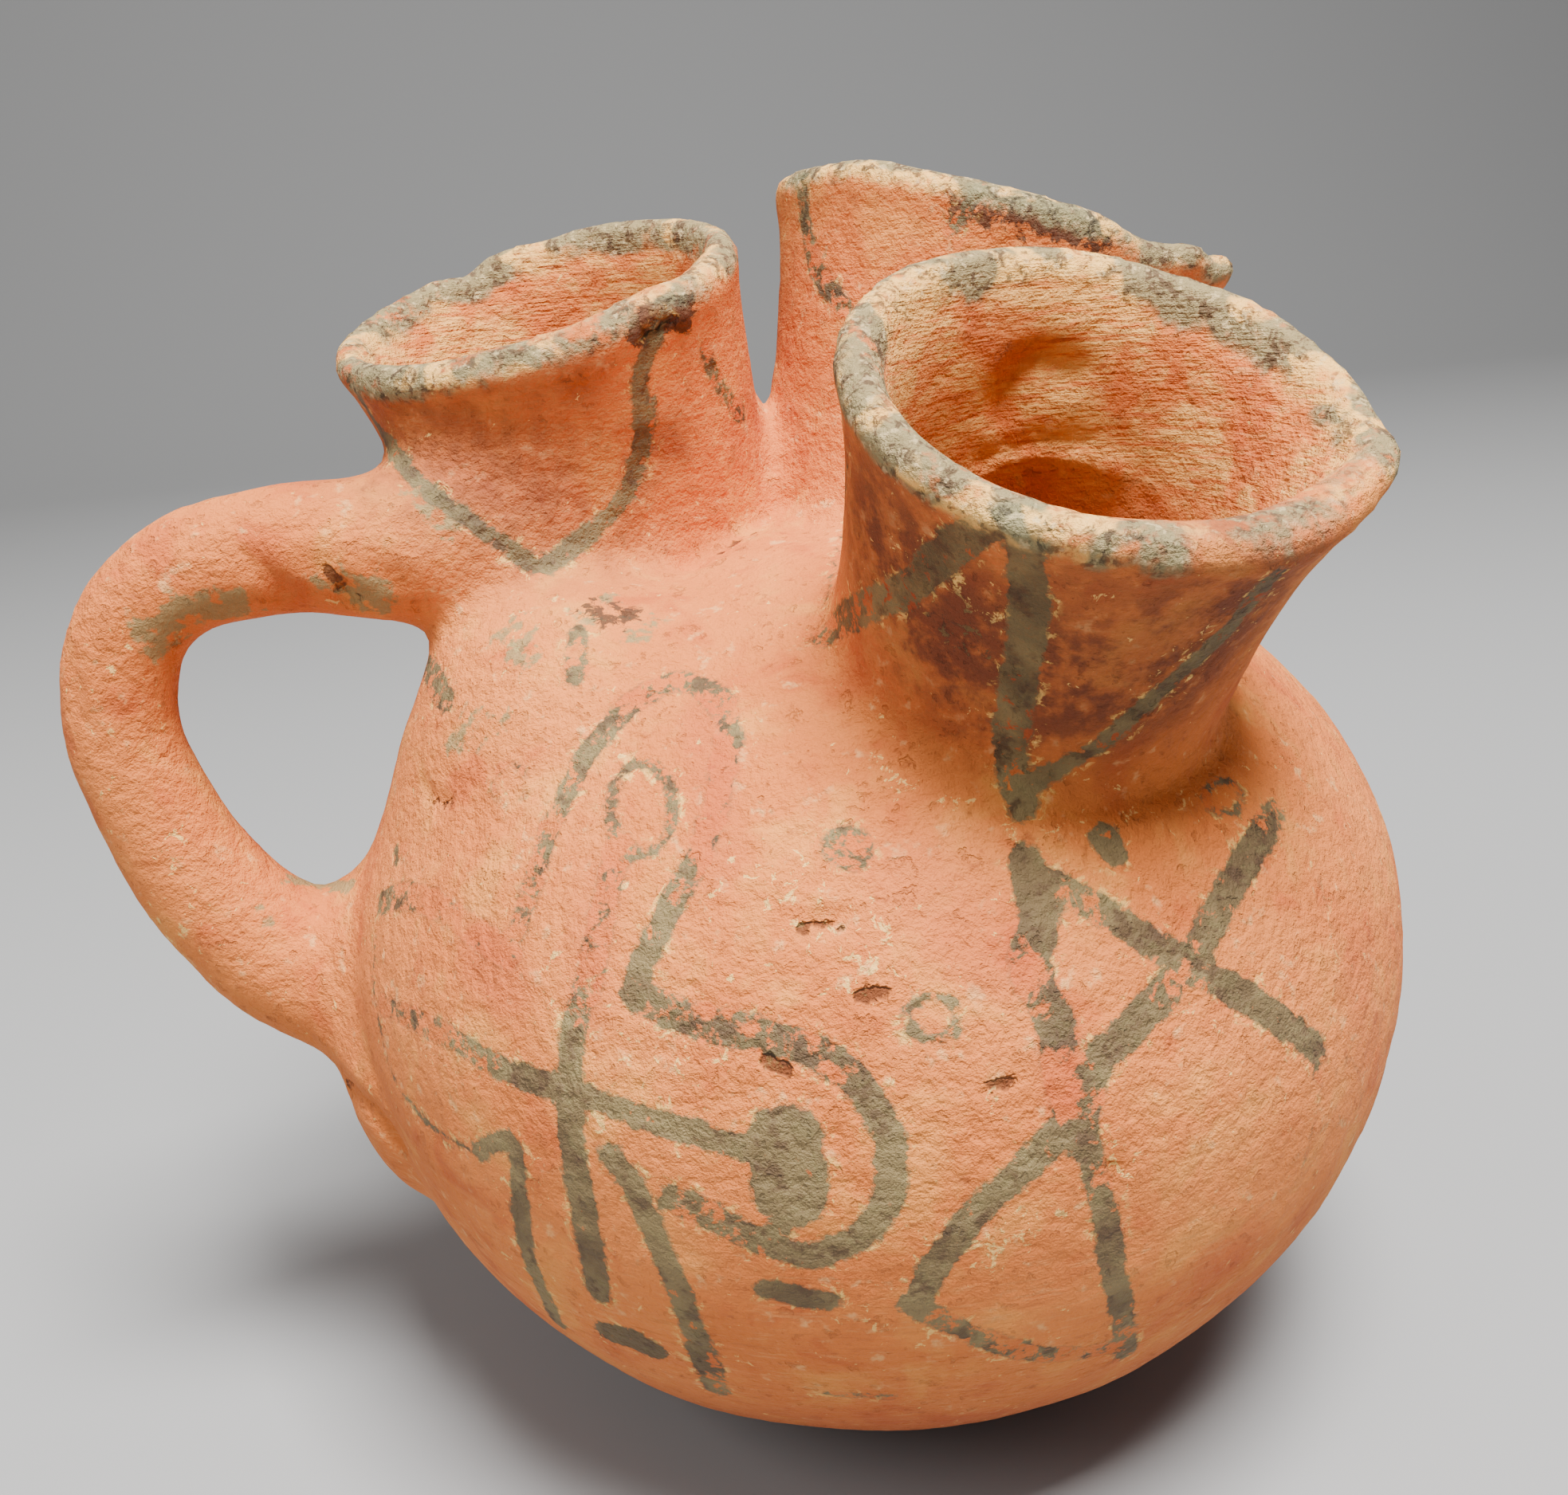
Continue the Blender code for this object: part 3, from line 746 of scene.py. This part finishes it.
lip = np.full(len(points), 99.0)           # millimetres from the middle of the nearest lip
collar_height = np.zeros(len(points))      # how far up the nearest spout, from 0 to 1
for spout in SPOUTS:
    beside, past_lip, along, wall = spout_space(spout, *points.T)
    lip = np.minimum(lip, np.sqrt((beside + wall / 2) ** 2 + (past_lip + 0.0028) ** 2) * 1000)
    near_wall = np.clip(1.6 - np.abs(beside + wall / 2) / 0.004, 0, 1) * (past_lip < 0.004)
    collar_height = np.maximum(collar_height, np.clip(along / spout.length, 0, 1) * near_wall)
crack = np.full(len(points), 3.0)
for line in CRACKS:
    traced, _ = cast(line)
    if len(traced):
        chosen = close_by(traced, 0.003)
        crack[chosen] = np.minimum(crack[chosen], distances(traced, points[chosen])[0])
for name, values in (("paint_edge", paint_edge), ("paint_kept", paint_kept),
                     ("lip", np.minimum(lip, 20)), ("outside", outside.astype(float)),
                     ("collar", collar_height), ("crack", crack),
                     ("cream", patches(CREAM)), ("grey", patches(GREY)), ("soot", patches(SOOT)),
                     ("redder", patches(REDDER)), ("rust_and_lip_shade", patches(RUST_AND_LIP_SHADE))):
    skin.attributes.new(name, "FLOAT", "POINT").data.foreach_set("value", values.astype(np.float32))

# Fired clay
# One clay all over: orange where it fired clean, rust-brown on the front spout with painted shade under its
# lip, and darker towards the bottom as painted shade, with fine wipe lines, grit, the paint and the deposits.
# The surface is dull and slightly rough.


def tone(red, green, blue):
    """A colour from its 0 to 255 values on a screen."""
    return tuple(((value / 255 + 0.055) / 1.055) ** 2.4 for value in (red, green, blue)) + (1.0,)


fired_clay.use_nodes = True
shader = fired_clay.node_tree.nodes["Principled BSDF"]
clay_bench = Bench(fired_clay.node_tree)


def carried(name):
    """A value that the skin carries at each point."""
    return clay_bench.node("ShaderNodeAttribute", {"attribute_name": name}, {}, "Fac")


def mixed(first, second, share):
    """One colour passing into another."""
    return clay_bench.node("ShaderNodeMix", {"data_type": "RGBA"},
                           {"A_Color": first, "B_Color": second, "Factor_Float": share}, "Result")


spot = clay_bench.node("ShaderNodeTexCoord", output="Object")
level = clay_bench.node("ShaderNodeSeparateXYZ", {}, {"Vector": spot}, 2)
wiped_spot = clay_bench.node("ShaderNodeMapping", {}, {"Vector": spot, "Scale": (1.0, 1.0, 8.0)})
broad = clay_bench.uneven(0.030, 2, 0.5, spot)
blotch = clay_bench.uneven(0.011, 3, 0.6, spot, distortion=0.4)
speckle = clay_bench.uneven(0.0032, 3, 0.65, spot)
fleck = clay_bench.uneven(0.0011, 2, 0.6, spot)
flaking = clay_bench.uneven(0.0021, 4, 0.72, spot, distortion=0.5)
wiping = clay_bench.uneven(0.006, 3, 0.62, wiped_spot, distortion=0.2)
is_outside = carried("outside")
rim_distance = carried("lip")
collar = carried("collar")
wiped = (collar.rise(0.1, 0.5) * (1 - is_outside * 0.55)).most(level.rise(0.070, 0.045) * 0.7)

colour = mixed(tone(211, 113, 47), tone(221, 125, 56), broad.rise(0.38, 0.64))
colour = mixed(colour, tone(232, 152, 68), blotch.rise(0.52, 0.70) * 0.55)
colour = mixed(colour, tone(188, 82, 34), blotch.rise(0.46, 0.30) * 0.6)
colour = mixed(colour, tone(240, 186, 120), speckle.rise(0.60, 0.74) * 0.5)
colour = mixed(colour, tone(134, 60, 30), speckle.rise(0.38, 0.24) * 0.5)
colour = mixed(colour, tone(232, 166, 100), wiping.rise(0.56, 0.68) * wiped * 0.4)
colour = mixed(colour, tone(150, 70, 34), wiping.rise(0.42, 0.30) * wiped * 0.35)
# Painted shade: the clay is darkened towards the bottom, where the belly faces down and away from the light.
colour = mixed(colour, tone(146, 70, 38), level.rise(0.044, 0.008) * 0.85)
colour = mixed(colour, tone(192, 80, 46), carried("redder") * 0.6)
# The rust-brown patches also paint shade on the spouts' near sides below their lips.
rust_and_lip_shade_here = carried("rust_and_lip_shade") * (0.55 + 0.45 * (blotch * 0.5 + speckle * 0.5).rise(0.58, 0.44))
colour = mixed(colour, tone(106, 56, 36), rust_and_lip_shade_here)
pale_inside = (1 - is_outside) * collar.rise(0.05, 0.5)
pale_inside = pale_inside * blotch.rise(0.42, 0.56) * wiping.rise(0.36, 0.52)
colour = mixed(colour, tone(240, 182, 96), pale_inside * 0.7)

cream_here = (flaking + carried("cream") * 0.17).rise(0.66, 0.70)
colour = mixed(colour, tone(242, 196, 112), cream_here * 0.75)
grey_here = (speckle + carried("grey") * 0.35).rise(0.64, 0.74)
colour = mixed(colour, tone(138, 126, 82), grey_here * carried("grey").rise(0.02, 0.2) * 0.8)
soot_here = (flaking + carried("soot") * 0.4).rise(0.62, 0.72) * carried("soot").rise(0.02, 0.2)
colour = mixed(colour, tone(50, 42, 34), soot_here * 0.85)

# Paint: ragged at its edges, flaked where less is kept, and a reddish stain where it is gone
edge = carried("paint_edge") + (speckle - 0.5) * 1.7 + (fleck - 0.5) * 1.3 + (blotch - 0.5) * 1.3 + 0.15
kept = carried("paint_kept")
stroke = edge.rise(0.16, -0.16)
flaked = (flaking * 0.6 + speckle * 0.4 + (kept - 0.5) * 0.28).rise(0.45, 0.51)
outline = edge.size().rise(0.34, 0.08) * (0.2 + kept * 0.5)
halo = edge.rise(1.6, 0.1) * flaking.rise(0.55, 0.61) * kept.rise(0.15, 0.6)
colour = mixed(colour, tone(244, 196, 104), halo * 0.7)
colour = mixed(colour, tone(196, 80, 36), stroke * 0.3)
paint_tone = mixed(tone(84, 76, 50), tone(122, 110, 72), blotch.rise(0.35, 0.65))
paint_tone = mixed(paint_tone, tone(54, 46, 34), speckle.rise(0.50, 0.66) * 0.75)
painted = (stroke * flaked).most(outline * flaking.rise(0.42, 0.52))
colour = mixed(colour, paint_tone, painted * 0.93)

# Rims: a thin speckled crust of grey-green, cream and bare clay
on_rim = (rim_distance + (blotch - 0.5) * 2.2 + (speckle - 0.5) * 1.6).rise(3.2, 2.5)
crust = mixed(tone(136, 126, 88), tone(240, 186, 100), blotch.rise(0.50, 0.57))
crust = mixed(crust, tone(56, 50, 38), flaking.rise(0.49, 0.60) * 0.85)
crust = mixed(crust, tone(214, 190, 140), fleck.rise(0.56, 0.68) * 0.55)
colour = mixed(colour, crust, on_rim * (speckle * 0.5 + broad * 0.5).rise(0.36, 0.46) * 0.92)
crack_here = (carried("crack") + (fleck - 0.5) * 1.2 + (speckle - 0.5) * 1.2).rise(0.95, 0.55)
colour = mixed(colour, tone(70, 32, 16), crack_here * 0.8)

grit = clay_bench.uneven(0.0026, 5, 0.68, spot)
fine_wiping = clay_bench.uneven(0.0034, 2, 0.6, wiped_spot)
relief = (grit - 0.5) * 0.0016 - grit.rise(0.58, 0.70) * 0.0005 + (fine_wiping - 0.5) * wiped * 0.0004
relief = relief - crack_here * 0.0008
bumped = clay_bench.node("ShaderNodeBump", {}, {"Strength": 1.0, "Distance": 1.0, "Height": relief})
roughness = 0.86 - painted * 0.14 + on_rim * 0.06

for name, wire in (("Base Color", colour), ("Roughness", roughness), ("Normal", bumped)):
    fired_clay.node_tree.links.new(wire.socket, shader.inputs[name])
shader.inputs["Metallic"].default_value = 0.0
shader.inputs["Specular IOR Level"].default_value = 0.35

vessel = bpy.data.objects.new("painted_vessel", skin)
bpy.context.scene.collection.objects.link(vessel)
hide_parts("vessel")
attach(vessel, "root")

# Floor and light
# A plain pale sheet that curves up far behind, under one broad soft light high up and a little
# in front, a weaker one from the left and a low even sky.
FLOOR_REACH = 1.6
COVE_RADIUS = 0.6
HALF_FLOOR_WIDTH = 2.2
WALL_HEIGHT = 2.0
PAPER_TONE = (0.30, 0.297, 0.293, 1)

profile = [(-FLOOR_REACH, 0.0), (FLOOR_REACH - COVE_RADIUS, 0.0)]
profile += [(FLOOR_REACH - COVE_RADIUS * (1 - sin(radians(turn))), COVE_RADIUS * (1 - cos(radians(turn))))
            for turn in range(6, 91, 6)]
profile += [(FLOOR_REACH, WALL_HEIGHT)]
sheet = bpy.data.meshes.new("floor")
sheet.from_pydata([(side * HALF_FLOOR_WIDTH, y, z) for y, z in profile for side in (-1, 1)], [],
                  [(2 * i, 2 * i + 1, 2 * i + 3, 2 * i + 2) for i in range(len(profile) - 1)])
sheet.shade_smooth()
floor = bpy.data.objects.new("floor", sheet)
bpy.context.scene.collection.objects.link(floor)
paper = bpy.data.materials.new("pale_paper")
paper.use_nodes = True
paper_shader = paper.node_tree.nodes["Principled BSDF"]
paper_shader.inputs["Base Color"].default_value = PAPER_TONE
paper_shader.inputs["Roughness"].default_value = 0.9
sheet.materials.append(paper)


def soft_light(name, place, aim, width, watts):
    """A square soft light at a place, aimed at a point."""
    lamp = bpy.data.lights.new(name, "AREA")
    lamp.size = width
    lamp.energy = watts
    holder = bpy.data.objects.new(name, lamp)
    bpy.context.scene.collection.objects.link(holder)
    holder.location = place
    holder.rotation_euler = (Vector(aim) - Vector(place)).to_track_quat("-Z", "Y").to_euler()


soft_light("overhead", (0.10, -0.34, 1.1), (0, 0, 0.08), 0.45, 46)
soft_light("side", (-0.8, -0.4, 0.8), (0, 0, 0.08), 0.5, 5)
sky = bpy.data.worlds.new("even_sky")
sky.use_nodes = True
sky.node_tree.nodes["Background"].inputs["Color"].default_value = (0.93, 0.95, 1.0, 1)
sky.node_tree.nodes["Background"].inputs["Strength"].default_value = 0.22
bpy.context.scene.world = sky
